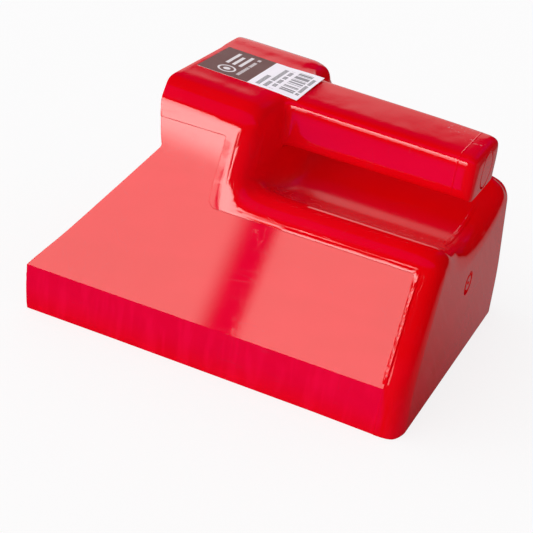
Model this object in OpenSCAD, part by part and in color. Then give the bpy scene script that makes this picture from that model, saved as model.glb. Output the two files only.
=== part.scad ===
// Enclosed feed scoop, standing on its flat sole.
// +X points to the rear (handle end), the mouth opens towards -X, +Z is up.
// The origin is the centre of the sole, on the surface the scoop rests on.

/* [Scoop] */
// Length over the sole, from the mouth edge to the rear wall
body_l = 224; // [190:1:260]
// Width of the sole at the rear wall
sole_w = 184; // [160:1:210]
// Height of the upright band that runs round the sole
band_h = 28; // [20:1:36]
// How far each side of the band flares out by its top edge
band_flare = 1.8; // [0:0.1:4]
// Inward lean of the side walls above the band, in mm per mm of height
wall_lean = 0.35; // [0.28:0.01:0.38]
// How much each side widens towards the mouth, in mm per mm of length
plan_draft = 0.012; // [0:0.001:0.02]
// Forward lean of the rear wall, in mm per mm of height
rear_lean = 0.024; // [0:0.002:0.05]
// Wall thickness of the moulding
wall = 2.5; // [1.8:0.1:3.2]
// Radius of the upright rear corners
corner_r = 14.5; // [10:0.5:20]
// Height of the ridge along each side, beside the trough
ridge_z = 95.5; // [88:0.5:100]
// Radius of the rounding over each ridge
ridge_r = 8.5; // [6:0.5:10]

/* [Trough] */
// Height of the trough floor on the centre line
trough_z = 82; // [78:1:86]
// Radius of the trough floor across the scoop
trough_r = 105; // [95:1:130]
// Radius of the rounding where the trough rolls over the rear wall
trough_lip_r = 11; // [4:1:14]

/* [Hood] */
// Height of the flat top of the hood
hood_z = 141; // [134:1:150]
// Distance from the rear wall to the rear face of the hood
hood_back = 116.5; // [110:1:125]
// Distance from the rear wall to the kink in the mouth edge
kink_back = 167; // [155:1:175]
// Height of the kink in the mouth edge
kink_z = 109; // [100:1:116]
// How far the mouth edge leans forward again between the kink and the top
hood_lean = 9.6; // [0:0.2:14]
// Rounding along the long top edges of the hood
hood_r = 18; // [12:1:22]
// Rounding of the upright rear edges of the hood
hood_corner_r = 9; // [6:0.5:12]
// Rounding between the top and the rear face of the hood
hood_brow_r = 11; // [8:1:14]

/* [Handle] */
// Width of the handle
handle_w = 48.6; // [40:0.2:56]
// Height of the underside of the handle above the floor
handle_z = 111; // [108:0.5:116]
// Thickness of the handle at its free end
handle_h = 25; // [22:0.5:26]
// How much the top of the handle rises towards the hood
handle_rise = 2; // [0:0.5:3]
// Distance from the rear wall to the free end of the handle
handle_back = 6.8; // [0:0.2:20]
// Rounding along the top edges of the handle
handle_top_r = 7; // [5:0.5:8]
// Rounding along the bottom edges of the handle
handle_low_r = 5; // [4:0.5:7]

/* [Moulded detail] */
// Step between the raised borders and the sunk side panels
panel_step = 0.45; // [0.2:0.05:0.7]
// Width of the raised border round each side panel
border_w = 5.8; // [4:0.2:8]
// Diameter of the round gate mark on the rear wall
gate_d = 15; // [12:0.5:20]
// Height of the gate mark above the floor
gate_z = 55.3; // [45:0.5:62]
// Diameter of the round mark on the free end of the handle
end_mark_d = 20; // [12:0.5:21]

/* [Label] */
// Width of the paper label
label_w = 42.5; // [30:0.5:50]
// Length of the part of the label that lies flat on the hood
label_flat_l = 46; // [38:1:48]
// Length of the free tail of the label, past the rear rounding of the hood
label_tail_l = 16; // [6:1:20]
// Thickness of the label paper
label_t = 0.3; // [0.2:0.05:0.5]

/* [Hidden] */
$fn = 48;
form_fn = 32;   // facets of the discs and balls that are hulled
trough_fn = 160;
thin = 0.02;    // thickness of hulled discs and sections

lean_angle = atan(wall_lean);
rear_x = body_l / 2;
mouth_x = -body_l / 2;
hood_x = rear_x - hood_back;
kink_x = rear_x - kink_back;
hood_front_x = kink_x - hood_lean;
handle_end_x = rear_x - handle_back;
trough_axis_z = trough_z + trough_r;

sole_bevel = 1;            // height and inset of the bevel round the sole
mouth_overrun = 5;         // how far the cavity runs out past the mouth
mouth_ridge_drop = 6;      // height of the sloped ridge corner at the mouth
mouth_ridge_in = 7;        // width of the same corner
hood_root_z = 40;          // where the hood starts, down inside the body
hood_front_over = 12;      // hood length beyond its front edge, trimmed by mouth_cut
handle_root_l = 12;        // reach of the handle into the hood
handle_cavity_root_l = 25; // reach of the hollow of the handle into the hood
end_mark_root = 3;
end_mark_h = 0.4;
ring_depth = 0.8;          // gate mark: depth of the sunk ring
centre_depth = 0.3;        // gate mark: depth of the disc inside the ring
dot_d = 2.4;               // gate mark: dot in the middle
label_tail_drop = 1.2;

// Half width of the outer side wall at length x and height z
function half_width(x, z) = sole_w / 2 + plan_draft * (rear_x - x)
    + (z < band_h ? band_flare * z / band_h : band_flare - wall_lean * (z - band_h));
// Outer face of the rear wall at height z
function rear_wall_x(z) = rear_x - rear_lean * z;
// Sideways place of the centre of a rounding of radius r that touches the leaning wall
function rounding_y(x, z, r) = half_width(x, z) - r / cos(lean_angle);
// Distance from the top of the band to height z, measured up the leaning wall
function up_wall(z) = (z - band_h) / cos(lean_angle);

// Thin discs and balls, the building elements of the hulled forms
module flat_disc(x, y, z, r) translate([x, y, z]) cylinder(r = r, h = thin, $fn = form_fn);
module upright_disc(x, y, z, r)
    translate([x, y, z]) rotate([0, 90, 0]) cylinder(r = r, h = thin, $fn = form_fn);
module ball(x, y, z, r) translate([x, y, z]) sphere(r = r, $fn = form_fn);

// Lower part of the scoop as one closed shape, drawn inwards by inset
module lower_form(inset) hull() for (side = [-1, 1]) {
    corner_x = rear_x - corner_r;
    // rear corner discs: height the wall is taken at, height of the disc, cut in radius
    for (disc = [[inset, inset, inset > 0 ? 0 : sole_bevel],
                 [sole_bevel, inset + sole_bevel, 0],
                 [band_h, band_h, 0]])
        flat_disc(rear_wall_x(disc[0]) - corner_r,
                  side * (half_width(corner_x, disc[0]) - corner_r),
                  disc[1], corner_r - inset - disc[2]);
    ball(rear_wall_x(ridge_z) - ridge_r,
         side * rounding_y(corner_x, ridge_z - ridge_r, ridge_r),
         ridge_z - ridge_r, ridge_r - inset);
    // half section at the mouth
    shoulder_z = ridge_z - mouth_ridge_drop;
    translate([mouth_x - (inset > 0 ? mouth_overrun : 0), 0, 0])
        rotate([90, 0, 90]) linear_extrude(thin)
            polygon([[0, inset],
                     [side * (half_width(mouth_x, 0) - inset), inset],
                     [side * (half_width(mouth_x, band_h) - inset), band_h],
                     [side * (half_width(mouth_x, shoulder_z) - inset), shoulder_z],
                     [side * (half_width(mouth_x, ridge_z) - mouth_ridge_in - inset),
                      ridge_z - inset],
                     [0, ridge_z - inset]]);
}

// Hood as one closed shape, drawn inwards by inset
module hood_form(inset) hull() for (side = [-1, 1]) {
    round_z = hood_z - hood_r;
    front_x = hood_front_x - hood_front_over;
    brow_r = hood_brow_r - inset;
    foot_r = 1;
    for (z = [hood_root_z, round_z])
        flat_disc(hood_x - hood_corner_r, side * (half_width(hood_x, z) - hood_corner_r), z,
                  hood_corner_r - inset);
    // the long top rounding, shrinking over the rounded brow
    for (a = [0 : 15 : 90])
        upright_disc(hood_x - hood_brow_r + brow_r * sin(a),
                     side * rounding_y(hood_x, round_z, hood_r), round_z,
                     hood_r - inset - brow_r * (1 - cos(a)));
    upright_disc(front_x, side * rounding_y(front_x, round_z, hood_r), round_z, hood_r - inset);
    flat_disc(front_x, side * (half_width(front_x, hood_root_z) - foot_r - inset),
              hood_root_z, foot_r);
}

// Handle as one closed shape, drawn inwards by inset; root is its reach into the hood
module handle_form(inset, root) hull() for (side = [-1, 1]) {
    root_x = hood_x - root;
    top_z = handle_z + handle_h - handle_top_r;
    low_z = handle_z + handle_low_r;
    // corner balls: x, z, radius
    for (corner = [[root_x, top_z + handle_rise, handle_top_r],
                   [handle_end_x - handle_top_r, top_z, handle_top_r],
                   [root_x, low_z, handle_low_r],
                   [handle_end_x - handle_low_r, low_z, handle_low_r]])
        ball(corner[0], side * (handle_w / 2 - corner[2]), corner[1], corner[2] - inset);
}

// Round mark standing on the free end of the handle
module end_mark()
    translate([handle_end_x - end_mark_root, 0, handle_z + handle_h / 2])
        rotate([0, 90, 0]) cylinder(d = end_mark_d, h = end_mark_root + end_mark_h);

// Trough hollowed out of the top, behind the hood, enlarged by grow
module trough_cut(grow) {
    overlap = 4;
    overrun = 6;
    translate([hood_x - grow, 0, trough_axis_z]) rotate([0, 90, 0])
        cylinder(r = trough_r + grow, h = body_l, $fn = trough_fn);
    // rolled lip over the rear wall
    translate([rear_wall_x(trough_z) - trough_lip_r, 0, trough_axis_z]) rotate([0, 90, 0])
        rotate_extrude($fn = trough_fn) difference() {
            translate([trough_r - overlap, 0])
                square([trough_lip_r + overlap, trough_lip_r + overrun]);
            translate([trough_r + trough_lip_r, 0]) circle(r = trough_lip_r - grow);
        }
}

// Everything in front of the mouth edge
module mouth_cut() {
    front_x = mouth_x - 40;
    top_z = hood_z + 10;
    low_z = -5;
    translate([0, sole_w, 0]) rotate([90, 0, 0]) linear_extrude(2 * sole_w)
        polygon([[mouth_x, low_z], [mouth_x, band_h], [kink_x, kink_z], [hood_front_x, hood_z],
                 [hood_front_x - 3, top_z], [front_x, top_z], [front_x, low_z]]);
}

// Sunk fields of the +Y side: the panel above the band, and the band itself.
// They leave the rear corner and a narrow border standing proud.
module side_sink() {
    clearance = 4;     // reach of the cutters outside the wall
    band_overrun = 5;  // reach of the band cutter below the sole
    band_overlap = 0.1;
    front = -body_l - 20;
    rear = -corner_r + 1;
    top = up_wall(hood_z - hood_r * 0.7 - border_w);
    shelf = up_wall(ridge_z - ridge_r * 0.67 - border_w * 0.65);
    hood_edge = hood_x - rear_x - hood_corner_r - border_w;

    // 2D field raised into a cutter on a wall tilted by angle
    module field(angle)
        rotate([angle, 0, 0]) translate([0, 0, -clearance])
            linear_extrude(clearance + panel_step) children();

    translate([rear_x, half_width(rear_x, band_h), band_h]) rotate([0, 0, -atan(plan_draft)]) {
        // along the wall from its rear end, and up the wall from the band
        field(90 + lean_angle)
            polygon([[front, 0], [rear, 0], [-corner_r - 0.5, shelf], [hood_edge + 4, shelf],
                     [hood_edge + 1, shelf + 1.2], [hood_edge, shelf + 4],
                     [hood_edge, top], [front, top]]);
        field(90 - atan(band_flare / band_h))
            translate([front, -band_h - band_overrun])
                square([rear - front, band_h + band_overrun + band_overlap]);
    }
}

// Gate mark in the rear wall: a sunk ring round a shallower disc with a flush dot
module gate_mark() {
    base = 1; // start of the raised parts, below the ring
    translate([rear_wall_x(gate_z), 0, gate_z])
        rotate([0, 90 + atan(rear_lean), 0]) difference() {
            translate([0, 0, -ring_depth]) cylinder(d = gate_d, h = 4);
            translate([0, 0, -base]) cylinder(d = gate_d * 0.62, h = base - centre_depth);
            translate([0, 0, -base]) cylinder(d = dot_d, h = base + 0.2);
        }
}

module scoop_body() color("crimson") difference() {
    union() {
        difference() {
            lower_form(0);
            trough_cut(0);
        }
        hood_form(0);
        handle_form(0, handle_root_l);
        end_mark();
    }
    // connected hollows of the body, hood and handle
    difference() {
        lower_form(wall);
        trough_cut(wall);
    }
    hood_form(wall);
    handle_form(wall, handle_cavity_root_l);
    mouth_cut();
    gate_mark();
    side_sink();
    mirror([0, 1, 0]) side_sink();
}

// Flat part on the hood, then a tail that stays nearly level past the rounding
module product_label() color("whitesmoke") {
    bend_x = hood_x - hood_brow_r;
    front_x = bend_x - label_flat_l;
    tail_x = bend_x + label_tail_l;
    tail_z = hood_z - label_tail_drop;
    translate([0, label_w / 2, 0]) rotate([90, 0, 0]) linear_extrude(label_w)
        polygon([[front_x, hood_z], [bend_x, hood_z], [tail_x, tail_z],
                 [tail_x, tail_z + label_t], [bend_x, hood_z + label_t],
                 [front_x, hood_z + label_t]]);
}

scoop_body();
product_label();
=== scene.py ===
"""Enclosed horse-feed scoop in glossy red moulded plastic, with a paper label on its hood.

The sole lies on z = 0 and the mouth opens towards -X. The hood covers the mouth end; the handle
reaches back from it (+X) over a hollowed roof. The halves mirror across y = 0 but for small
touches. The near side is -Y, where the camera stands. Shapes are worked out in millimetres.
"""

import math

import bmesh
import bpy
import numpy as np
from mathutils import Matrix, Vector


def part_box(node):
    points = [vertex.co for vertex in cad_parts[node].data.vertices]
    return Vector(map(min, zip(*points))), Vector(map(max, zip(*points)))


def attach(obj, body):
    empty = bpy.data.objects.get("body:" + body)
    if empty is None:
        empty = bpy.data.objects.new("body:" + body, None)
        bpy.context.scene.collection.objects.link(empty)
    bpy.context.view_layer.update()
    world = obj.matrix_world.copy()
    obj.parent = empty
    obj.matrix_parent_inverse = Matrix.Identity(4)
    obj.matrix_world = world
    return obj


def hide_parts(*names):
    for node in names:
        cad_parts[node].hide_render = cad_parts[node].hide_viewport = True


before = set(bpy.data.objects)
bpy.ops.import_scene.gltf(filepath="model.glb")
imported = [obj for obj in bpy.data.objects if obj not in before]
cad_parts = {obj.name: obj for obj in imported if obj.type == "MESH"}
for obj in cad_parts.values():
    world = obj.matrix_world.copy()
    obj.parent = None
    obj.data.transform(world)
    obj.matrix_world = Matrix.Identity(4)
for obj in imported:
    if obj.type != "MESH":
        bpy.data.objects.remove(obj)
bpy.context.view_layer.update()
MM = 0.001
COLLECTION = bpy.context.scene.collection

# ------------------------------------------------------------------ dimensions, mm
body_low, body_high = (corner * 1000 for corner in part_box("scoop_body"))
label_low, _ = (corner * 1000 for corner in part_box("product_label"))
REAR, MOUTH, TOP = body_high.x, body_low.x, body_high.z

WALL = 2.5
SOLE_HALF = 92.0      # half width of the sole at the rear
BAND = 28.0           # height of the band round the foot of the sides
FLARE = 1.8           # how far the band spreads over its height
LEAN = 0.35           # inward slope of the sides above the band
DRAFT = 0.012         # widening per mm towards the mouth
REAR_LEAN = 0.024     # forward slope of the rear wall
LEAN_ANGLE = math.atan(LEAN)
COS, SIN = math.cos(LEAN_ANGLE), math.sin(LEAN_ANGLE)
# extra half width at the sole: amount, x where it starts, run to the full amount
SOLE_SWELL = ((1.5, -60.0, 172.0), (1.0, 62.0, 50.0))

CORNER_R = 11.6                               # upright rear corners
LOW_CORNER_R = {0: 11.2, 1: 11.2, 2: 11.4}    # the same at grid levels up to the band
LIP = 11.0                                    # rounding between roof and rear wall
RIDGE, RIDGE_R = 95.7, 8.5                    # edge between side and roof
TROUGH_Z, TROUGH_R = 82.0, 105.0              # hollow of the roof under the handle

HOOD_X = REAR - 116.5                         # rear face of the hood
KINK_X, KINK_Z = REAR - 167.0, 109.0          # bend in the mouth outline
BROW_X = KINK_X - 9.6                         # mouth edge at the hood top
HOOD_R, HOOD_REAR_R = 18.0, 11.0              # long top roundings; rear roundings

HANDLE_HALF = 24.3
HANDLE_Z = 111.0                              # underside
HANDLE_END_Z, HANDLE_HOOD_Z = 134.7, 138.5    # top at the free end and at the hood
HANDLE_END = REAR - 6.8

STEP = 0.45                                   # depth of the sunk side fields
FIELD_END = REAR - 13.6                       # rear edge of the sunk fields


def clamp(value, low=0.0, high=1.0):
    return min(max(value, low), high)


def half_width(x, z):
    """Half width of the outer side at length x and height z."""
    width = SOLE_HALF + DRAFT * (REAR - x)
    if z >= BAND:
        return width + FLARE - LEAN * (z - BAND)
    low = 1 - max(z, 0.0) / BAND
    width += FLARE * z / BAND
    for amount, start, run in SOLE_SWELL:
        width += amount * clamp((x - start) / run) * low
    return width


def hood_rear(z):
    """Length x of the hood's rear face."""
    return HOOD_X + 0.4 - 0.03 * max(0.0, z - 95.0)


def mouth_x(z):
    """Outline of the mouth seen from the side."""
    if z < 5:
        return MOUTH - 1.3 + 1.3 * (1 - z / 5.0)
    if z < BAND:
        return MOUTH - 1.1
    if z == BAND:
        return MOUTH - 2.6
    if z <= KINK_Z:
        t = (z - BAND) / (KINK_Z - BAND)
        return MOUTH + 0.5 + t * (KINK_X - MOUTH - 0.5) - 5.0 * t * (1 - t) ** 3
    t = (z - KINK_Z) / (TOP - KINK_Z)
    return KINK_X + t ** 0.6 * (BROW_X - KINK_X)


def hood_top(x):
    """Hood top height; it falls slightly towards the handle."""
    return TOP - 0.041 * clamp(x - BROW_X, high=60.0)


def trough(y):
    return TROUGH_Z + TROUGH_R - math.sqrt(TROUGH_R * TROUGH_R - y * y)


# ------------------------------------------------------------------ cage of the shell
# Grid indices: i runs from mouth to rear, j from the centre out to the sides (negative on the
# near side), k from the sole up.
I_HOOD, I_REAR = 4, 9
J_HANDLE, J_SIDE = 3, 9
K_BAND, K_RIDGE, K_HANDLE, K_HANDLE_TOP, K_TOP = 2, 6, 9, 12, 13

# by j: distance from the centre line on the roof, and height of the roof
BASE_Y = [0, 12, 17.5, HANDLE_HALF, 31.3, 41.5, 50.0, 56.5, 63.0]
ROOF_DROP = (0.3, 0.2, 0.2, 0.0, 0.2, 0.3, 0.3)
ROOF_Z = [trough(y) - drop for y, drop in zip(BASE_Y, ROOF_DROP)] + [96.0, 96.2, 95.6]
# by k: height at the sides, and what differs beside the mouth
SIDE_Z = [0, 2.6, BAND, 46.0, 66.0, 86.6, RIDGE,
          102.0, 106.5, HANDLE_Z, 118.0, 129.0, 132.0, TOP]
MOUTH_SIDE_Z = {8: 106.8, 9: KINK_Z, 10: 111.4}
# (j, k): angle round the long hood rounding in degrees, 90 at the top
HOOD_ARC = {(5, 13): 90.0, (6, 13): 78.2, (7, 13): 66.4, (8, 13): 54.7, (9, 13): 42.9,
            (9, 12): 31.1, (9, 11): 19.3}
# the same for the border of the hood's flat rear face
HOOD_REAR_ARC = {(5, 12): 90.0, (6, 12): 78.2, (7, 12): 62.0, (8, 12): 42.9, (8, 11): 19.3}
# extra loops beside the roundings keep the flats truly flat: axis, lower index, fraction
SUPPORT_LOOPS = [(0, 7, 0.92), (0, 2, 0.90), (1, 7, 0.76), (2, 4, 0.86), (0, 5, 0.30)]
# outward normal of each side of a grid cell, and its four corners
CELL_SIDES = [
    ((1, 0, 0), ((1, 0, 0), (1, 1, 0), (1, 1, 1), (1, 0, 1))),
    ((-1, 0, 0), ((0, 0, 0), (0, 0, 1), (0, 1, 1), (0, 1, 0))),
    ((0, 1, 0), ((0, 1, 0), (0, 1, 1), (1, 1, 1), (1, 1, 0))),
    ((0, -1, 0), ((0, 0, 0), (1, 0, 0), (1, 0, 1), (0, 0, 1))),
    ((0, 0, 1), ((0, 0, 1), (1, 0, 1), (1, 1, 1), (0, 1, 1))),
    ((0, 0, -1), ((0, 0, 0), (0, 1, 0), (1, 1, 0), (1, 0, 0)))]


def hood_arc(angle, inset, x):
    """Point (y, z) on the long top rounding of the hood."""
    centre_z = hood_top(x) - HOOD_R
    centre_y = half_width(x, centre_z) - HOOD_R / COS
    # slightly large, since the smoothed surface shrinks inside its cage
    radius = (HOOD_R - inset) / 0.993
    angle = math.radians(angle)
    return centre_y + radius * math.cos(angle), centre_z + radius * math.sin(angle)


def handle_point(i, j, k, inset):
    """Cage point of the handle, or of the patch where it meets the hood."""
    along = max(0, i - I_HOOD) / 5.0
    top = HANDLE_HOOD_Z + (HANDLE_END_Z - HANDLE_HOOD_Z) * along - inset
    z = {9: HANDLE_Z + inset, 10: HANDLE_Z + inset + 4.6, 11: top - 5.4, 12: top}[k]
    y = [0, 10.0, (18.6 if k >= 11 else 19.8) - 0.3 * inset, HANDLE_HALF - inset][j]
    if i > I_HOOD:
        x = {5: HOOD_X + 5.0 - 0.3 * inset, 6: 30.0, 7: 72.0,
             8: HANDLE_END - 5.6, 9: HANDLE_END + 0.7 - inset}[i]
    elif k == K_HANDLE_TOP:
        x = hood_rear(z) - 3.0 - inset * 0.6
        z = HANDLE_HOOD_Z + 0.1 - inset
    else:
        x = hood_rear(z) - inset
    return x, y, z


def level_z(i, j, k, inset):
    """Height of a body or hood point."""
    z, roof = SIDE_Z[k], ROOF_Z[j]
    if k <= K_RIDGE:
        if i == I_REAR and j < J_SIDE:
            z = {3: 43.0, 4: 57.0, 5: roof - LIP}.get(k, z)
        if k == 0:
            return inset
        if k == 1:
            return z + inset * 0.7
        if k == 5:
            return z - inset * (0.35 if j < 8 else 0.5)
        if k == K_RIDGE and i >= I_HOOD:
            return roof - inset * (1.0 if j < 5 else 1.07)
        return z
    if j == J_SIDE and i <= 1:
        z = MOUTH_SIDE_Z.get(k, z)
    if i == I_HOOD and j < J_SIDE:
        z = {7: min(roof + 11.5, 102.5), 8: 105.3 if j <= 4 else 107.0,
             9: z + inset, 10: 117.0, 11: 123.0, 12: 131.0}.get(k, z)
    return z


def level_x(i, j, k, z, inset):
    """Length of a body or hood point at height z."""
    wall = REAR - REAR_LEAN * z
    if i == I_REAR:
        return wall - inset + 0.35 * max(0.0, 1 - z / 60.0)
    if i == 8:
        if k == K_RIDGE:
            return wall - (LIP if j < 8 else 15.0)
        return wall - LOW_CORNER_R.get(k, CORNER_R)
    if i > I_HOOD:
        return {5: HOOD_X + 15.0, 6: 38.0, 7: 70.0}[i]
    if i == I_HOOD:
        return hood_rear(z) - inset
    mouth, hood = mouth_x(z), hood_rear(z) - HOOD_REAR_R
    return [mouth, mouth + 4.0, 0.5 * (mouth + 4.0 + hood), hood][i]


def cage_point(i, j, k, inset):
    """Cage point for grid index (i, j, k), j >= 0, at an inset from the outer surface."""
    on_hood = i == I_HOOD and j <= J_HANDLE and K_HANDLE <= k <= K_HANDLE_TOP
    if on_hood or (i > I_HOOD and k > K_RIDGE):
        return handle_point(i, j, k, inset)
    z = level_z(i, j, k, inset)
    x = level_x(i, j, k, z, inset)
    if k == K_TOP:
        z = hood_top(x) - inset
    if (j, k) in HOOD_ARC and i <= I_HOOD:
        y, z = hood_arc(HOOD_ARC[j, k], inset, x)
        return level_x(i, j, k, z, inset), y, z
    if j == J_SIDE:
        return x, half_width(x, z) - (inset / COS if k >= K_BAND else inset), z
    y = BASE_Y[j]
    if k in (K_RIDGE, K_TOP):
        return x, y, z
    if i == I_HOOD and k > K_RIDGE:
        if (j, k) in HOOD_REAR_ARC:
            y, z = hood_arc(HOOD_REAR_ARC[j, k], HOOD_REAR_R, x)
            return hood_rear(z) - inset, y, z
        if j <= 4:
            return x, y, z
        edge = half_width(x, z) - HOOD_REAR_R * COS - LEAN * HOOD_REAR_R * SIN
        if j == 8:
            return x, edge, z - HOOD_REAR_R * SIN * (0.6 if k > 7 else 0.2)
        share = {5: 0.36, 6: 0.66, 7: 0.86}[j]
        return x, BASE_Y[4] + (edge - BASE_Y[4]) * share, z
    edge = half_width(x, z) - LOW_CORNER_R.get(k, CORNER_R)
    return x, y * edge / BASE_Y[8], z


def placed_point(p, inset):
    """Cage point for a signed grid index, with the touches that break the symmetry."""
    i, j, k = p
    x, y, z = cage_point(i, abs(j), k, inset)
    if j < 0:
        y = -y
    if j >= 5 and i <= I_HOOD and k >= 10:   # far edge of the hood draws in towards the mouth
        y -= 2.9 * (1 - i / 4.0) * min(1.0, (z - KINK_Z) / (TOP - KINK_Z))
    if 4 <= i <= 7 and k in (11, 12):        # squarer far edge of the handle
        if j == 2:
            y += 0.8
        elif j == 3:
            z += 0.8
    if i == 0 and k == K_TOP:   # brow: set back at both corners, fuller beyond the middle
        if abs(j) >= 8:
            x += 0.45
        elif 3 <= j <= 6:
            x -= 0.8
    return np.array([x, y, z])


def shift(p, offset):
    return tuple(a + b for a, b in zip(p, offset))


def cells():
    """Grid cells filled by body, hood and handle."""
    return {(i, j, k) for i in range(I_REAR) for j in range(-J_SIDE, J_SIDE)
            for k in range(K_TOP)
            if k < K_RIDGE or i < I_HOOD
            or (-J_HANDLE <= j < J_HANDLE and K_HANDLE <= k < K_HANDLE_TOP)}


def corner_pull(p, points, normals, links):
    """Move of an edge or corner point towards its neighbours; it sets the rounding there."""
    i, j, k = p[0], abs(p[1]), p[2]
    if len(normals) < 2 or (i <= 3 and ((j, k) in HOOD_ARC or k == K_TOP)):
        return 0.0
    near = []
    for axis in {tuple(map(abs, normal)) for normal in normals}:
        for sign in (1, -1):
            q = shift(p, [sign * c for c in axis])
            if q in links[p]:
                near.append(q)
    if k == 0 or (k == K_HANDLE and i == I_REAR):
        # these edges stay sharp; only their corners in plan are drawn in
        in_plan = len({normal for normal in normals if normal[2] == 0}) >= 2
        near = [q for q in near if q[2] == k and in_plan]
    if (i, j, k) == (I_HOOD, J_SIDE, K_TOP):
        near = [(3, p[1], K_TOP), (4, 8 if p[1] > 0 else -8, 12)]
    if len(near) < 2:
        return 0.0
    pull = 0.175 if len(near) == 2 else 0.27
    if len(near) > 2 and (i, j, k) == (I_HOOD, J_SIDE, K_RIDGE):
        pull = 0.19
    if i == I_HOOD and j <= J_HANDLE and K_HANDLE <= k <= K_HANDLE_TOP:
        pull = 0.10
    if p[1] >= 8 and ((i == I_REAR and k == K_RIDGE) or (i == I_HOOD and k >= 12)):
        pull = 0.33
    move = np.zeros(3)
    for q in near:
        if i == I_REAR and j == J_SIDE and k <= K_BAND:
            pull = 0.24 if q[0] != i else 0.08
        move += pull * (points[q] - points[p])
    return move


def split_quads(quads, points, axis, low, fraction):
    """Cut the quads between low and low + 1 on an axis; the cut points are added to points."""
    def at(p, index):
        return p[:axis] + (index,) + p[axis + 1:]

    result = []
    for quad in quads:
        if {p[axis] for p in quad} != {low, low + 1}:
            result.append(quad)
            continue
        for replaced in (low + 1, low):
            half = []
            for p in quad:
                if p[axis] == replaced:
                    start, end = points[at(p, low)], points[at(p, low + 1)]
                    p = at(p, low + 0.5)
                    points[p] = start * (1 - fraction) + end * fraction
                half.append(p)
            result.append(half)
    return result


def cage(inset):
    """Boundary quads of the filled cells, open at the mouth, and the place of each point."""
    filled = cells()
    quads, normals, links = [], {}, {}
    for cell in sorted(filled):
        for normal, corners in CELL_SIDES:
            at_mouth = cell[0] == 0 and normal == (-1, 0, 0)
            if at_mouth or shift(cell, normal) in filled:
                continue
            quad = [shift(cell, corner) for corner in corners]
            quads.append(quad)
            for p, q in zip(quad, quad[1:] + quad[:1]):
                links.setdefault(p, set()).add(q)
                links.setdefault(q, set()).add(p)
                normals.setdefault(p, set()).add(normal)
    raw = {p: placed_point(p, inset) for p in normals}
    points = {p: raw[p] + corner_pull(p, raw, normals[p], links) for p in normals}
    for axis, low, fraction in SUPPORT_LOOPS:
        quads = split_quads(quads, points, axis, low, fraction)
        if axis == 1:
            quads = split_quads(quads, points, axis, -low - 1, 1.0 - fraction)
    return quads, points


def crease_weight(p, q, is_outer):
    """Crease of the cage edge between two grid points."""
    at_side = abs(p[1]) == abs(q[1]) == J_SIDE
    at_rear = p[0] == q[0] == I_REAR
    first, last = sorted((p[0], q[0]))
    if p[2] != q[2]:
        return 0.0
    if at_side and p[2] == K_BAND:
        if not is_outer:
            return 0.35
        return 1.0 if 1 <= first and last <= 8 else 0.5
    if not is_outer:
        return 0.0
    if p[2] == 0 and (at_side or at_rear):
        return 0.86
    if p[2] == K_HANDLE:
        if first >= 5 and abs(p[1]) == abs(q[1]) == J_HANDLE:
            return 0.15
        if at_rear:
            return 0.72
    return 0.0


def add_object(name, bm, outward=True, mesh_name=None):
    """Turn a bmesh into a linked object, by default with its faces turned outward."""
    if outward:
        bmesh.ops.recalc_face_normals(bm, faces=bm.faces)
    mesh = bpy.data.meshes.new(mesh_name or name)
    bm.to_mesh(mesh)
    bm.free()
    obj = bpy.data.objects.new(name, mesh)
    COLLECTION.objects.link(obj)
    return obj


def build_shell():
    """Outer and inner cages bridged at the mouth rim, as one closed quad mesh with creases."""
    bm = bmesh.new()
    crease = bm.edges.layers.float.new("crease_edge")
    layers = []
    for inset in (0.0, WALL):
        quads, points = cage(inset)
        verts = {p: bm.verts.new(points[p] * MM) for p in sorted(points)}
        for quad in quads:
            corners = [verts[p] for p in quad]
            bm.faces.new(corners if inset == 0 else corners[::-1])
        layers.append(verts)
    outer, inner = layers
    # both cages have the same quads; the rim follows their edges used in one direction only
    directed = {(p, q): None for quad in quads for p, q in zip(quad, quad[1:] + quad[:1])}
    for p, q in directed:
        if (q, p) not in directed:
            bm.faces.new([outer[q], outer[p], inner[p], inner[q]])
            for verts in layers:
                bm.edges.get((verts[p], verts[q]))[crease] = 0.62
    for verts in layers:
        index = {vert: p for p, vert in verts.items()}
        for edge in bm.edges:
            p, q = (index.get(vert) for vert in edge.verts)
            if p is not None and q is not None:
                edge[crease] = max(edge[crease], crease_weight(p, q, verts is outer))
    return add_object("scoop_shell", bm)


def apply_modifiers(obj):
    bpy.context.view_layer.update()
    graph = bpy.context.evaluated_depsgraph_get()
    mesh = bpy.data.meshes.new_from_object(
        obj.evaluated_get(graph), preserve_all_data_layers=True, depsgraph=graph)
    obj.modifiers.clear()
    obj.data = mesh


# ------------------------------------------------------------------ crisp moulded details
def loft(name, rings):
    """Closed solid through rings of points (mm) with equal counts, capped at both ends."""
    bm = bmesh.new()
    rings = [[bm.verts.new(Vector(point) * MM) for point in ring] for ring in rings]
    count = len(rings[0])
    for low, high in zip(rings, rings[1:]):
        for a in range(count):
            b = (a + 1) % count
            bm.faces.new([low[a], low[b], high[b], high[a]])
    bm.faces.new(rings[0][::-1])
    bm.faces.new(rings[-1])
    return add_object(name, bm)


def revolve(name, profile, place, steps=96):
    """Closed ring or disc from profile points (radius, height), turned round local Z."""
    bm = bmesh.new()
    rings = []
    for radius, height in profile:
        ring = []
        for t in range(steps if radius > 0 else 1):
            angle = 2 * math.pi * t / steps
            point = Vector((radius * math.cos(angle), radius * math.sin(angle), height))
            ring.append(bm.verts.new(place @ point * MM))
        rings.append(ring)
    for low, high in zip(rings, rings[1:] + rings[:1]):
        if len(low) == len(high) == 1:
            continue
        for t in range(steps):
            corners = [ring[n % len(ring)]
                       for ring, n in ((low, t), (low, (t + 1) % steps),
                                       (high, (t + 1) % steps), (high, t))]
            # a ring on the axis is a single vertex, which leaves a triangle
            bm.faces.new(list(dict.fromkeys(corners)))
    return add_object(name, bm)


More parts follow.
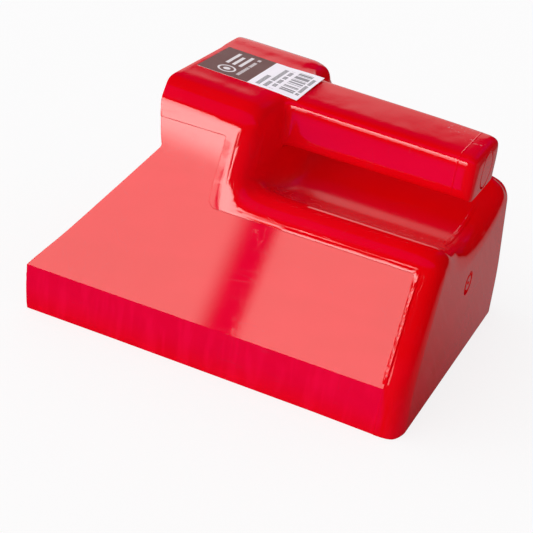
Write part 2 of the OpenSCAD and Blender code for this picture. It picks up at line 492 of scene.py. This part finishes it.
def fillet(outline, steps=6):
    """Polygon from (x, y, corner radius) rows with its corners rounded."""
    result = []
    for n, (x, y, radius) in enumerate(outline):
        corner = np.array((x, y), float)
        if radius <= 0:
            result.append((x, y))
            continue
        before = np.array(outline[n - 1][:2]) - corner
        after = np.array(outline[(n + 1) % len(outline)][:2]) - corner
        before /= np.linalg.norm(before)
        after /= np.linalg.norm(after)
        angle = math.acos(float(np.clip(before @ after, -1, 1)))
        tangent = radius / math.tan(angle / 2)
        middle = (before + after) / np.linalg.norm(before + after)
        centre = corner + middle * (radius / math.sin(angle / 2))
        start, end = (math.atan2(*(corner + side * tangent - centre)[::-1])
                      for side in (before, after))
        sweep = (end - start + math.pi) % (2 * math.pi) - math.pi
        for s in range(steps + 1):
            turn = start + sweep * s / steps
            result.append((centre[0] + radius * math.cos(turn),
                           centre[1] + radius * math.sin(turn)))
    return result


def panel_cutter(sign):
    """Prism that sinks the leaning side panel; its outline lies in the plane of the panel."""
    far = MOUTH - REAR - 20
    edge = FIELD_END - REAR
    shelf = (RIDGE - RIDGE_R * 0.67 - 3.6 - BAND) / COS
    top = (TOP - HOOD_R * 0.667 - 6.0 - BAND) / COS
    hood = HOOD_X - REAR - HOOD_REAR_R - 5.6
    outline = fillet([(far, 0, 0), (edge, 0, 0), (edge - 2.0, shelf, 1.5),
                      (hood, shelf, 5.5), (hood, top, 1.0), (far, top, 0)])
    place = (Matrix.Diagonal((1, sign, 1, 1))
             @ Matrix.Translation((REAR, half_width(REAR, BAND), BAND))
             @ Matrix.Rotation(-math.atan(DRAFT), 4, "Z")
             @ Matrix.Rotation(math.radians(90) + LEAN_ANGLE, 4, "X"))
    return loft("cut_panel", [[place @ Vector((x, y, z)) for x, y in outline]
                              for z in (-4, STEP)])


def band_cutter(sign, steps=40, below=5.0, beyond=4.0):
    """Long thin block whose inner face lies STEP below the outer face of the side band."""
    rings = []
    start = MOUTH - 20
    for t in range(steps + 1):
        x = start + (FIELD_END - start) * t / steps
        low, top = half_width(x, 0.0), half_width(x, BAND - 1e-6)
        low -= (top - low) / BAND * below
        section = [(low - STEP, -below), (top - STEP, BAND),
                   (top + beyond, BAND), (low + beyond, -below)]
        rings.append([(x, sign * y, z) for y, z in section])
    return loft("cut_band", rings)


# profiles (radius, height) of the round details
GATE_GROOVE = [(7.4, 0.6), (7.3, 0.0), (6.9, -0.75), (6.4, -0.9), (5.0, -0.9), (4.6, -0.75),
               (4.3, -0.12), (4.1, 0.6)]
GATE_PIP = [(0, -0.6), (1.1, -0.6), (1.1, 0.0), (0.8, 0.45), (0, 0.5)]
END_GROOVE = [(10.9, 0.8), (10.8, -0.05), (10.5, -0.5), (9.9, -0.5), (9.6, -0.1), (9.5, 0.8)]
END_DISC = [(0, -0.8), (9.5, -0.8), (9.5, -0.02), (9.3, 0.16), (8.5, 0.18), (8.1, -0.12),
            (0, -0.12)]
GATE_Z = 55.3    # gate mark on the rear wall


def detail_parts():
    """Boolean operations and solids that cut or add the details, in order."""
    parts = []
    for sign in (1, -1):
        parts.append(("DIFFERENCE", panel_cutter(sign)))
        parts.append(("DIFFERENCE", band_cutter(sign)))
    gate = (Matrix.Translation((REAR - REAR_LEAN * GATE_Z, 0, GATE_Z))
            @ Matrix.Rotation(math.radians(90) + math.atan(REAR_LEAN), 4, "Y"))
    end = (Matrix.Translation((HANDLE_END, 0, (HANDLE_Z + HANDLE_END_Z) / 2))
           @ Matrix.Rotation(math.radians(90), 4, "Y"))
    parts.append(("DIFFERENCE", revolve("cut_gate", GATE_GROOVE, gate)))
    parts.append(("UNION", revolve("add_pip", GATE_PIP, gate, steps=32)))
    parts.append(("DIFFERENCE", revolve("cut_end", END_GROOVE, end)))
    parts.append(("UNION", revolve("add_end", END_DISC, end)))
    return parts


def add_details(shell):
    parts = detail_parts()
    for operation, part in parts:
        boolean = shell.modifiers.new("detail", "BOOLEAN")
        boolean.operation = operation
        boolean.object = part
        boolean.solver = "MANIFOLD"
    apply_modifiers(shell)
    for _, part in parts:
        mesh = part.data
        bpy.data.objects.remove(part)
        bpy.data.meshes.remove(mesh)


def places(mesh):
    """Vertex places in mm."""
    return [tuple(c / MM for c in vertex.co) for vertex in mesh.vertices]


def shade_shell(mesh):
    mesh.shade_smooth()
    mesh.set_sharp_from_angle(angle=math.radians(20))
    # the line where band and leaning panel meet is always a crisp edge
    seam = {n for n, (x, y, z) in enumerate(places(mesh))
            if abs(z - BAND) < 0.7 and -0.2 < half_width(x, BAND) - abs(y) < 1.3
            and x < REAR - 13.0}
    for edge in mesh.edges:
        if edge.vertices[0] in seam and edge.vertices[1] in seam:
            edge.use_edge_sharp = True


shell = build_shell()
smoothing = shell.modifiers.new("smoothing", "SUBSURF")
smoothing.levels = smoothing.render_levels = 2
smoothing.use_limit_surface = True
apply_modifiers(shell)
add_details(shell)
shade_shell(shell.data)

# ------------------------------------------------------------------ product label
LABEL_HALF = 21.3                       # half width
LABEL_X = label_low.x                   # end towards the mouth
LABEL_LENGTH = -0.6 - LABEL_X
LABEL_THICK = 0.16
TAIL_X, TAIL_RUN = -22.0, 22.0          # from here on the label hangs free of the hood
OFF_PRINT = (-5, -5)                    # UV of the unprinted faces


def label_z(x, y):
    """Under-surface height: it lies on the hood top, then runs out as a free curved tail."""
    if x <= TAIL_X:
        return hood_top(x) + 0.04
    t = (x - TAIL_X) / TAIL_RUN
    side = (y + LABEL_HALF) / (2 * LABEL_HALF)
    near = -0.15 * t - 1.55 * t ** 1.5
    far = 0.62 * t - 1.05 * t * t + 1.0 * max(0.0, t - 0.55) ** 2
    bulge = 0.35 * math.sin(math.pi * side) * t * t
    return hood_top(TAIL_X) + 0.04 + near + (far - near) * side ** 1.15 + bulge


def build_label(nx=78, ny=44):
    """Thin draped sheet with its print UVs in mm."""
    bm = bmesh.new()
    uv_layer = bm.loops.layers.uv.new("print")
    verts = {}
    for layer in (0, 1):
        for i in range(nx + 1):
            for j in range(ny + 1):
                x = LABEL_X + LABEL_LENGTH * i / nx
                y = -LABEL_HALF + 2 * LABEL_HALF * j / ny
                skew = -0.010 * y * (i / nx)
                ripple = 0.02 * math.sin(x * 0.9 + 0.6 * y) * (1 if x < TAIL_X else 0.4)
                z = label_z(x, y) + ripple + layer * LABEL_THICK
                verts[layer, i, j] = bm.verts.new(Vector((x + skew, y, z)) * MM)

    def face(keys, uvs):
        for loop, uv in zip(bm.faces.new([verts[key] for key in keys]).loops, uvs):
            loop[uv_layer].uv = uv

    for i in range(nx):
        for j in range(ny):
            corners = [(i, j), (i + 1, j), (i + 1, j + 1), (i, j + 1)]
            face([(1, *corner) for corner in corners],
                 [(LABEL_LENGTH * a / nx, 2 * LABEL_HALF * b / ny) for a, b in corners])
            face([(0, *corner) for corner in corners[::-1]], [OFF_PRINT] * 4)
    border = ([(i, 0) for i in range(nx)] + [(nx, j) for j in range(ny)]
              + [(i, ny) for i in range(nx, 0, -1)] + [(0, j) for j in range(ny, 0, -1)])
    for p, q in zip(border, border[1:] + border[:1]):
        face([(0, *p), (0, *q), (1, *q), (1, *p)], [OFF_PRINT] * 4)
    obj = add_object("label_sheet", bm, outward=False, mesh_name="label")
    obj.data.shade_smooth()
    obj.data.set_sharp_from_angle(angle=math.radians(40))
    return obj


label = build_label()


# ------------------------------------------------------------------ node helpers
class Value:
    """A node output; arithmetic and methods add further nodes to its tree."""

    def __init__(self, tree, socket):
        self.tree, self.socket = tree, socket

    def math(self, operation, *others):
        return self.tree.math(operation, self, *others)

    def __add__(self, other):
        return self.math("ADD", other)

    def __radd__(self, other):
        return self.tree.math("ADD", other, self)

    def __sub__(self, other):
        return self.math("SUBTRACT", other)

    def __rsub__(self, other):
        return self.tree.math("SUBTRACT", other, self)

    def __mul__(self, other):
        return self.math("MULTIPLY", other)

    def __abs__(self):
        return self.math("ABSOLUTE")

    def output(self, name):
        """Another output of the same node."""
        return Value(self.tree, self.socket.node.outputs[name])

    def split(self):
        parts = self.tree.add("SeparateXYZ", [self])
        return [parts.output(axis) for axis in "XYZ"]

    def ramp(self, over, to=(0.0, 1.0), kind="SMOOTHSTEP"):
        """Clamped step from to[0] to to[1] as the value goes from over[0] to over[1]."""
        return self.tree.add("MapRange", [self, *over, *to], interpolation_type=kind, clamp=True)

    def window(self, over, soft):
        """1 within the span, falling to 0 over soft on both sides of each end."""
        low, high = over
        return (self.ramp(over=(low - soft, low + soft))
                * self.ramp(over=(high + soft, high - soft)))

    def noise(self, scale=1.0, detail=2.0, rough=0.5, distort=0.0):
        return self.tree.add("TexNoise", {
            "Vector": self, "Scale": scale, "Detail": detail, "Roughness": rough,
            "Distortion": distort})

    def stretch(self, scale, turn=(0, 0, 0)):
        return self.tree.add("Mapping", {0: self, 2: turn, 3: scale})

    def bump(self, distance, normal=None):
        inputs = {"Strength": 1.0, "Distance": distance, "Height": self}
        if normal:
            inputs["Normal"] = normal
        return self.tree.add("Bump", inputs)


class Tree:
    """Emptied node tree of a material or world."""

    def __init__(self, owner):
        owner.use_nodes = True
        self.nodes, self.links = owner.node_tree.nodes, owner.node_tree.links
        self.nodes.clear()

    def add(self, kind, inputs=(), output=0, **settings):
        """New node; inputs are in order, or by name or index. Gives one of its outputs."""
        node = self.nodes.new("ShaderNode" + kind)
        for name, setting in settings.items():
            setattr(node, name, setting)
        for key, value in inputs.items() if isinstance(inputs, dict) else enumerate(inputs):
            if isinstance(value, Value):
                self.links.new(value.socket, node.inputs[key])
            else:
                node.inputs[key].default_value = value
        return Value(self, node.outputs[output]) if len(node.outputs) else None

    def math(self, operation, *values):
        return self.add("Math", values, operation=operation)


def mix(amount, below, above):
    return amount.tree.add("Mix", {0: amount, 6: below, 7: above}, output=2, data_type="RGBA")


def maximum(first, *rest):
    for value in rest:
        first = first.math("MAXIMUM", value)
    return first


def new_material(name):
    material = bpy.data.materials.new(name)
    return material, Tree(material)


def rgb(red, green, blue):
    return (red, green, blue, 1.0)


# ------------------------------------------------------------------ moulded red plastic
def scratches(position, turn, scale_x, scale_z, width, seed):
    """Thin iso-lines of stretched noise, kept in patches."""
    tree = position.tree
    field = position.stretch((scale_x, scale_x * 0.6, scale_z), turn)
    field = tree.add("VectorMath", [field, (seed, seed * 1.7, seed * 0.4)], operation="ADD")
    line = abs(field.noise(detail=2.5, rough=0.6, distort=0.2) - 0.5).ramp(over=(width, 0.0))
    return line * position.noise(scale=26.0 + seed).ramp(over=(0.50, 0.66))


def spot(position, x, y, z, radius):
    """Soft round spot; place and radius in mm."""
    distance = position.tree.add("VectorMath", [position, (x * MM, y * MM, z * MM)],
                                 output="Value", operation="DISTANCE")
    return distance.ramp(over=(radius * MM, radius * 0.35 * MM))


def plastic_material():
    """Lengths in this and the other node trees are metres unless noted."""
    material, tree = new_material("scoop_plastic")
    position = tree.add("NewGeometry", output="Position")
    x, y, z = position.split()
    normal_x, normal_y, normal_z = tree.add("NewGeometry", output="Normal").split()
    field = tree.add("Attribute", output="Fac", attribute_name="field")
    satin = tree.add("Attribute", output="Fac", attribute_name="satin")

    flow = position.stretch((9, 5, 26), turn=(0.0, 0.35, 0.2))
    flow = flow.noise(detail=3.0, rough=0.55, distort=0.6)
    cloud = position.noise(scale=17.0, detail=3.0, rough=0.6)
    grain = position.noise(scale=1500.0, rough=0.6)
    wave = position.stretch((60, 30, 75)).noise(detail=1.5, rough=0.45, distort=0.3)
    scratch = maximum(
        scratches(position, turn=(0.3, 0.9, 0.2), scale_x=9, scale_z=90, width=0.004, seed=3.1),
        scratches(position, turn=(-0.2, -0.5, 0.6), scale_x=90, scale_z=12, width=0.004,
                  seed=7.7),
        scratches(position, turn=(0.1, 0.15, 1.2), scale_x=50, scale_z=14, width=0.006,
                  seed=12.3) * 0.8)
    # handled spots near the end of the handle
    scuff = maximum(spot(position, x=82, y=12, z=HANDLE_END_Z, radius=9),
                    maximum(spot(position, x=96, y=2, z=HANDLE_END_Z, radius=7),
                            spot(position, x=88, y=20, z=HANDLE_END_Z - 1, radius=6)))
    chips = scuff * position.noise(scale=520.0, detail=3.0, rough=0.65).ramp(over=(0.57, 0.66))
    # painted reflection: pinker wavy streaks low down on the walls stand in for a wavy surface
    # catching light
    painted_glint_streak = position.stretch((150, 20, 26), turn=(0.0, 0.5, 0.0))
    painted_glint_streak = painted_glint_streak.noise(rough=0.55, distort=0.4).ramp(over=(0.42, 0.70))
    painted_glint_streak = painted_glint_streak * z.ramp(over=(0.034, 0.026))
    # painted reflection: the end face of the handle is paled towards pink in patches, standing
    # in for the light it mirrors
    painted_end_reflection = normal_x.ramp(over=(0.70, 0.93)) * (
        z.ramp(over=(0.100, 0.104)) * x.ramp(over=(0.090, 0.094)))
    painted_end_reflection = painted_end_reflection * position.noise(scale=190.0, detail=3.0, rough=0.6).ramp(
        over=(0.30, 0.60), to=(0.06, 0.15))
    # slanting flow lines on the rear wall
    slant = tree.add("CombineXYZ", [x * 8.0, (y + z) * 105.0, (y - z) * 13.0])
    slant = slant.noise(detail=2.5, rough=0.55, distort=0.5).ramp(over=(0.46, 0.66)) * 0.12
    rear_wall = abs(normal_y).ramp(over=(0.24, 0.10)) * (
        normal_x.ramp(over=(0.80, 0.92)) * z.ramp(over=(0.092, 0.080)))

    colour = mix(flow.ramp(over=(0.36, 0.66)),
                 rgb(0.860, 0.0000, 0.003), rgb(0.900, 0.0008, 0.008))
    # tints laid over one another: amount, colour
    for amount, tint in (
            (cloud.ramp(over=(0.45, 0.75)) * 0.35, rgb(0.81, 0.0, 0.002)),
            # painted reflection streaks low on the walls
            (painted_glint_streak * 0.5, rgb(0.99, 0.003, 0.026)),
            (scratch * 0.16, rgb(0.62, 0.03, 0.05)),
            (chips * 0.75, rgb(0.88, 0.30, 0.32)),
            # painted reflection on the end face of the handle
            (painted_end_reflection, rgb(0.62, 0.15, 0.15)),
            (slant * rear_wall, rgb(0.93, 0.09, 0.09))):
        colour = mix(amount, colour, tint)

    # sunk fields are glossier; scratches, chips and the satin hollow are rougher
    roughness = (cloud * 0.02 + (0.038 - field * 0.020)
                 + (scratch * 0.10 + chips * 0.22) + satin * 0.17)

    # bumps from the rounded edges up: grain, waves, ripples, joint, scratches
    calm = field.ramp(over=(1.0, 0.0), to=(0.01, 1.0), kind="LINEAR") * (1.0 - satin)
    # crinkled border beside the rear edge of the sunk side fields
    border = x.window(over=((REAR - 15.1) * MM, (REAR - 12.9) * MM), soft=0.0007) * (
        z.ramp(over=(0.089, 0.084)) * z.ramp(over=(0.028, 0.036)))
    ripple = position.stretch((330, 120, 240)).noise() * border
    # fine joint line round the handle
    joint = abs(x - 0.0945).ramp(over=(0.0005, 0.0001)) * (
        z.ramp(over=(0.1085, 0.1095)) * abs(y).ramp(over=(0.027, 0.026)))
    scored = scratch * field.ramp(over=(0.0, 1.0), to=(0.6, 0.06), kind="LINEAR")
    normal = tree.add("Bevel", [0.00045], samples=4)
    for height, distance in ((grain, 0.0000016), (wave * calm, 0.00011), (ripple, 0.0008),
                             (joint, 0.00012), (0.0 - maximum(scored, chips * -2.0), 0.00002)):
        normal = height.bump(distance, normal)

    surface = tree.add("BsdfPrincipled", {
        "Base Color": colour, "Roughness": roughness, "Normal": normal, "IOR": 1.49,
        "Specular IOR Level": normal_z.ramp(over=(0.90, 0.975), to=(0.5, 0.08))})
    tree.add("OutputMaterial", [surface])
    return material


def field_at(x, y, z):
    """1 on the sunk fields of the two sides."""
    depth = (half_width(x, z) - abs(y)) / (COS if z > BAND else 1.0)
    inside = (MOUTH + 1 < x < FIELD_END and STEP * 0.55 < depth < STEP * 1.6
              and z < TOP - 15)
    return 1.0 if inside else 0.0


def satin_at(x, y, z):
    """Strength of the satin finish in the hollow under the handle, weaker on the far side."""
    if z >= 97.0:
        return 0.0
    return (clamp((47.0 - abs(y)) / 6.0) * clamp((x - HOOD_X + 2.0) / 3.0)
            * clamp((REAR - 6.0 - x) / 6.0) * clamp((10.0 - y) / 22.0, low=0.2))


shell.data.materials.clear()
shell.data.materials.append(plastic_material())
for attribute_name, value_at in (("field", field_at), ("satin", satin_at)):
    attribute = shell.data.attributes.new(attribute_name, "FLOAT", "POINT")
    attribute.data.foreach_set("value", [value_at(*place) for place in places(shell.data)])


# ------------------------------------------------------------------ printed paper label
# lines of small type: span along the scoop, span across it (mm), pitch, fill, seed
TYPE_LINES = (((34.4, 37.0), (2.8, 20.5), 1.7, 0.90, 5.0),
              ((38.8, 41.3), (2.8, 36.5), 1.6, 0.92, 9.0),
              ((42.8, 45.2), (2.8, 36.8), 1.65, 0.88, 14.0),
              ((57.0, 59.1), (6.0, 36.0), 1.5, 0.94, 21.0))


def label_material():
    """Print laid out in mm: u runs along the scoop, v across it."""
    material, tree = new_material("label_paper")
    u, v, _ = tree.add("UVMap", uv_map="print").split()
    position = tree.add("NewGeometry", output="Position")

    def cell_random(cell, seed):
        corner = [cell.math("FLOOR"), tree.math("FLOOR", 0.0), seed]
        return tree.add("TexWhiteNoise", [tree.add("CombineXYZ", corner)],
                        noise_dimensions="3D")

    def block(u_span, v_span):
        return u.window(over=u_span, soft=0.12) * v.window(over=v_span, soft=0.12)

    def dashes(u_span, v_span, pitch, fill, seed):
        """A row of short blocks standing for a line of small type."""
        area = block(u_span, v_span)
        cell = v * (1.0 / pitch)
        shown = cell_random(cell, seed).ramp(over=(1.0 - fill, 1.0 - fill + 0.02))
        return area * (shown * cell.math("FRACT").window(over=(0.14, 0.84), soft=0.12))

    # mark in the brown field: a ring round a dot, three strokes and a line of type
    mark_u, mark_v = 14.0, 9.6
    radius = ((u - mark_u) * (u - mark_u) + (v - mark_v) * (v - mark_v)).math("SQRT")
    mark = maximum(
        radius.window(over=(4.1, 5.3), soft=0.15), radius.ramp(over=(2.2, 1.9)),
        block((9.0, 11.0), (18.2, 37.5)), block((13.0, 15.0), (18.2, 33.5)),
        block((17.0, 19.0), (18.2, 37.5)),
        dashes((21.4, 23.4), (5.2, 38.0), pitch=1.05, fill=0.86, seed=2.0) * 0.92)
    small_type = maximum(*[dashes(*line) for line in TYPE_LINES])
    # bar code of random bars, some of them darker
    bar = cell_random(v * 1.45, seed=33.0).ramp(over=(0.40, 0.44))
    dark = cell_random(v * 0.55, seed=41.0).ramp(over=(0.70, 0.74))
    bars = block((47.4, 56.0), (5.6, 38.6)) * (bar * (0.82 + dark * 0.18))

    fibre = position.noise(scale=2600.0, detail=3.0, rough=0.7)
    blotch = position.noise(scale=90.0, detail=3.0, rough=0.6)
    brown = mix(fibre.ramp(over=(0.3, 0.8)), rgb(0.155, 0.058, 0.048), rgb(0.190, 0.077, 0.066))
    paper = mix(blotch.ramp(over=(0.3, 0.75)), rgb(0.95, 0.90, 0.97), rgb(0.98, 0.93, 1.0))
    grey = mix(fibre.ramp(over=(0.35, 0.7)), rgb(0.05, 0.045, 0.048), rgb(0.13, 0.12, 0.125))
    brown_area = u.ramp(over=(30.9, 30.6)) * u.ramp(over=(-1.0, -0.5))
    mark_ink = mark * brown_area * fibre.ramp(over=(0.15, 0.5), to=(0.86, 1.0))
    colour = mix(maximum(small_type, bars) * 0.92, paper, grey)
    colour = mix(brown_area, colour, brown)
    colour = mix(mark_ink, colour, rgb(0.80, 0.74, 0.76))
    # edges and underside carry no print
    colour = mix(u.ramp(over=(-2.0, -1.0)), rgb(0.80, 0.76, 0.76), colour)

    surface = tree.add("BsdfPrincipled", {
        "Base Color": colour, "Roughness": 0.42 + blotch * 0.12, "IOR": 1.42,
        "Normal": blotch.bump(distance=0.00012, normal=fibre.bump(distance=0.000012))})
    tree.add("OutputMaterial", [surface])
    return material


label.data.materials.append(label_material())

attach(shell, "root")
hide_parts("scoop_body")
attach(label, "root")
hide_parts("product_label")


# ------------------------------------------------------------------ floor
def floor_material():
    """Bright to the camera, plain grey to diffuse light, and painted for reflections."""
    material, tree = new_material("floor")
    path = tree.add("LightPath", output="Is Camera Ray")
    x, y, _ = tree.add("NewGeometry", output="Position").split()
    toward_x, toward_y, toward_z = tree.add("NewGeometry", output="Incoming").split()

    plain = tree.add("BsdfDiffuse", [rgb(0.74, 0.74, 0.74)])
    seen = tree.add("AddShader", [
        tree.add("BsdfDiffuse", [rgb(0.22, 0.22, 0.22)]),
        tree.add("Emission", {"Color": rgb(1, 1, 1), "Strength": 0.80})])

    grey = x.ramp(over=(0.32, 0.20)) * y.ramp(over=(-0.11, 0.15), to=(0.02, 0.24)) + 0.004
    # violet sheen on the near part, for some directions only
    sheen = x.ramp(over=(0.21, 0.12)) * y.ramp(over=(-0.085, -0.12))
    sheen = sheen * toward_y.ramp(over=(0.45, 0.75))
    sheen = sheen * (toward_x.ramp(over=(0.0, 0.16)) * (
        toward_z.ramp(over=(0.72, 0.58)) * toward_z.ramp(over=(0.10, 0.30))))
    tint = tree.add("CombineColor", {"Red": grey + sheen * 0.42, "Green": grey * 0.97,
                                     "Blue": grey * 0.97 + sheen * 0.68})
    mirrored = tree.add("Emission", {"Color": tint, "Strength": 1.0})

    surface = tree.add("MixShader", [path, plain, seen])
    surface = tree.add("MixShader", [path.output("Is Glossy Ray"), surface, mirrored])
    tree.add("OutputMaterial", [surface])
    return material


scene = bpy.context.scene
scene.view_settings.view_transform = "Standard"
grid = bmesh.new()
bmesh.ops.create_grid(grid, x_segments=2, y_segments=2, size=6.0)
floor = add_object("studio_floor", grid, outward=False)
floor.data.materials.append(floor_material())


# ------------------------------------------------------------------ world
def reflected_sky(tree, x, y, z):
    """Softboxes as mirrored by the glossy plastic; angles in degrees."""
    degrees = 180 / math.pi
    height = z.math("ARCSINE") * degrees
    near = x.math("ARCTAN2", y * -1.0) * degrees         # bearing from -Y, growing towards +X
    far = (x * -1.0).math("ARCTAN2", y) * degrees        # bearing from +Y, growing towards -X
    box_heights = {"over": (1.5, 13.6), "soft": 0.5}
    # near box: a dim lower part with a dark upright gap, and a hot upper part
    gap = near.ramp(over=(-18.20, -17.10)) * near.ramp(over=(-15.95, -16.40))
    dim = near.window(over=(-52, 3), soft=1.5) * height.window(**box_heights) * (1.0 - gap)
    reach = near.ramp(over=(-20.5, -24), to=(29.0, 35.0))
    hot = near.window(over=(-52, 3), soft=2.0) * (
        height.ramp(over=(13.1, 14.1)) * (height - reach).ramp(over=(0.0, -2.0)))
    hot = hot * height.ramp(over=(20, 30), to=(1.0, 0.72))
    back = far.window(over=(4.5, 42), soft=2.5) * (
        height.ramp(over=(-50, -45)) * height.ramp(over=(21.3, 20.0)))
    back = back * far.ramp(over=(8, 24), to=(0.84, 1.46))
    light = dim * 3.75 + hot * 9.5 + (back + 0.006)
    # blue only: in the gap, high on the near side, and above the far box
    high = height.ramp(over=(36, 50)) * y.ramp(over=(0.1, -0.1)) * 0.35
    glow = far.window(over=(-15, 42), soft=4) * height.ramp(over=(44, 19)) * (
        height.ramp(over=(19.0, 22.0), to=(0.16, 1.0)) * 0.20)
    blue = light * 0.97 + (gap * height.window(**box_heights) * 0.62 + (high + glow))
    return tree.add("CombineColor", {"Red": light, "Green": light, "Blue": blue})


def diffuse_sky(tree, x, y, z):
    """Broad light for the diffuse colour: key from the camera side, fill from behind."""
    falloff = 1.6
    key = maximum(x * -0.56 + (y * -0.815 + z * 0.14), 0.0).math("POWER", falloff)
    fill = maximum(y * 0.85 + (z * 0.35 + x * -0.30), 0.0).math("POWER", falloff)
    base = 0.385 + fill * 0.34
    return tree.add("CombineColor", {"Red": base + key * 1.60,
                                     "Green": base * 0.98 + key * 1.58,
                                     "Blue": base + key * 1.60})


def build_world():
    world = bpy.data.worlds.new("studio")
    scene.world = world
    tree = Tree(world)
    path = tree.add("LightPath", output="Is Glossy Ray")
    direction = tree.add("TexCoord", output="Generated").split()
    mirrored = tree.add("Background", [reflected_sky(tree, *direction)])
    diffuse = tree.add("Background", [diffuse_sky(tree, *direction)])
    seen = tree.add("Background", [rgb(1, 1, 1)])
    sky = tree.add("MixShader", [path, diffuse, mirrored])
    sky = tree.add("MixShader", [path.output("Is Camera Ray"), sky, seen])
    tree.add("OutputWorld", [sky])


build_world()


# ------------------------------------------------------------------ lamps
def add_lamp(name, kind, **settings):
    data = bpy.data.lights.new(name, kind)
    for key, setting in settings.items():
        setattr(data, key, setting)
    lamp = bpy.data.objects.new(name, data)
    COLLECTION.objects.link(lamp)
    return lamp


# soft lamp that lifts the paper label only
label_lamp = add_lamp("label_lamp", "SUN", energy=0.70, angle=0.7, color=(1.0, 0.965, 0.945))
label_lamp.rotation_euler = (math.radians(12), 0.0, 0.0)
label_only = bpy.data.collections.new("label_only")
label_only.objects.link(label)
label_lamp.light_linking.receiver_collection = label_only

# weak red bounce in the hand hollow, where light soaks through the thin plastic
bounce = add_lamp("hollow_bounce", "AREA", shape="RECTANGLE", size=0.086, size_y=0.044,
                  energy=0.0034, color=(1.0, 0.0, 0.0))
bounce.location = Vector((54.0, 0.0, HANDLE_Z - 0.8)) * MM
bounce.visible_camera = False
bounce.visible_glossy = False

# ------------------------------------------------------------------ camera
CAMERA_PLACE = (REAR + 132.388, -726.064, 408.848)
# its right, up and backward directions
CAMERA_AXES = ((0.906, 0.392, 0.157), (-0.306, 0.352, 0.885), (0.292, -0.85, 0.439))

camera_data = bpy.data.cameras.new("camera")
camera = bpy.data.objects.new("camera", camera_data)
COLLECTION.objects.link(camera)
# the quaternion makes the rounded axes a true rotation
turn = Matrix(CAMERA_AXES).transposed().to_quaternion()
camera.matrix_world = Matrix.Translation(Vector(CAMERA_PLACE) * MM) @ turn.to_matrix().to_4x4()
camera_data.sensor_width = 36.0
camera_data.lens = 98.2739212
camera_data.shift_x = -0.0142589118
camera_data.shift_y = -0.0242026266
scene.camera = camera
